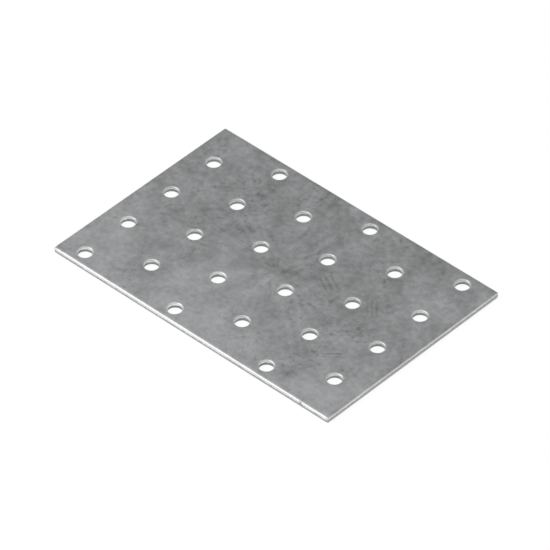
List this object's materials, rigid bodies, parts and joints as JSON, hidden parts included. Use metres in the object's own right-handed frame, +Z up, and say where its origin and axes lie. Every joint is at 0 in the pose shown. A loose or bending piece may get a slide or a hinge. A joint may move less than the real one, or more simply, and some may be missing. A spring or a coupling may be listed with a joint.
{
  "type": "mending plate",
  "caption": "Flat rectangular mending plate of galvanised steel sheet, punched with staggered rows of plain round nail holes, for joining timber.",
  "frame": {"origin": "centre of the underside, on the surface that the plate lies on", "axes": "+X along the plate, towards the end with the wider margin beyond the last row of holes; +Y across the plate; +Z up through the sheet, out of the face that the punches entered"},
  "size_m": [0.12, 0.08, 0.002],
  "materials": {
    "galvanised_steel": "continuous hot-dip zinc coat on cold rolled sheet: dull satin grey with a faint cloudy mottle; sheared and punched walls are brighter bare steel"
  },
  "bodies": {
    "root": {"plate": "galvanised_steel"}
  },
  "joints": []
}
